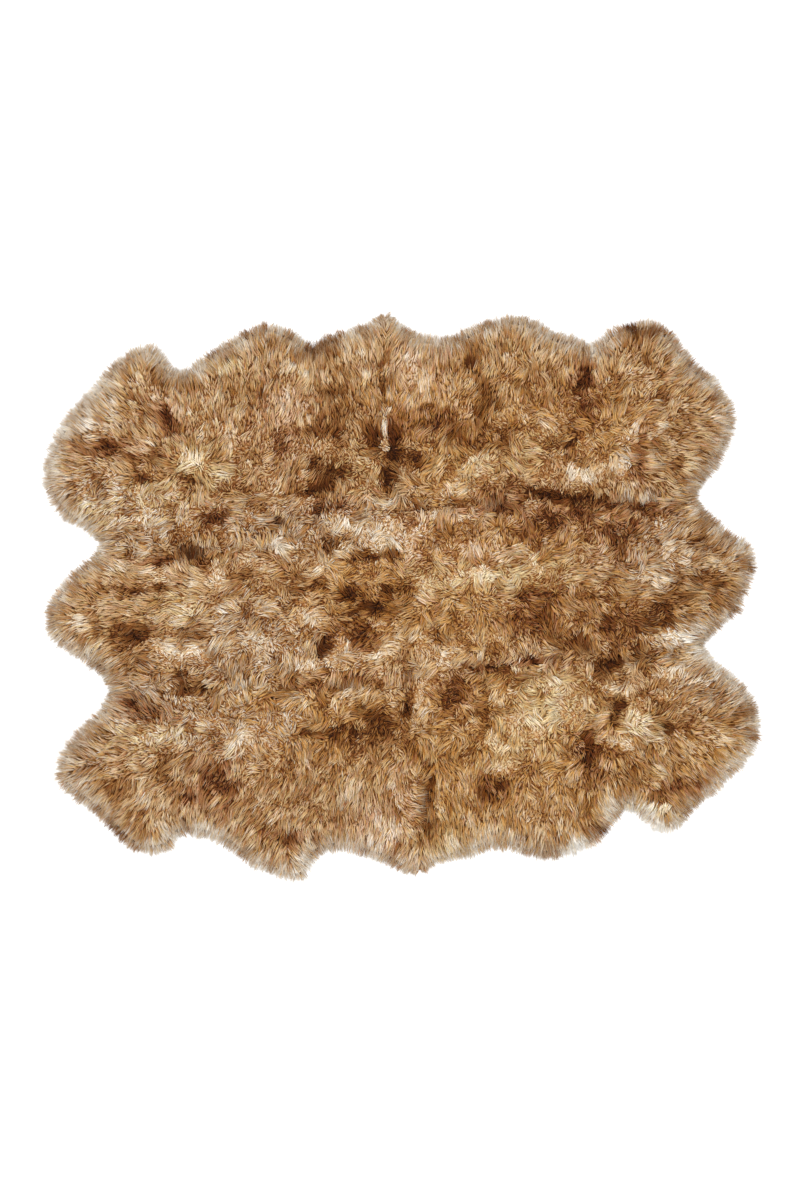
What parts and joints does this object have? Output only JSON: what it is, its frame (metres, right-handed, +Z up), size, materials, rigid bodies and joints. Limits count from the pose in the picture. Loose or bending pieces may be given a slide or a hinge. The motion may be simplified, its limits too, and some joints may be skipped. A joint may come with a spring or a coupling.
{
  "type": "sheepskin rug",
  "caption": "Long-wool sheepskin floor rug of whole pelts sewn edge to edge, with a scalloped outline and wool locks around its rim, lying flat.",
  "frame": {"origin": "middle of the rug's bounding box, on the floor that it lies on", "axes": "+Z up out of the wool, +X along the rug's long side, +Y along its short side towards the back row of pelts"},
  "size_m": [1.8588, 1.466, 0.0581],
  "materials": {
    "wool": "matte",
    "hide": "suede"
  },
  "bodies": {
    "root": {"pelt_back_left": "wool", "pelt_back_right": "wool", "pelt_middle_left": "wool", "pelt_middle_right": "wool", "pelt_front_left": "wool", "pelt_front_right": "wool"}
  },
  "joints": []
}
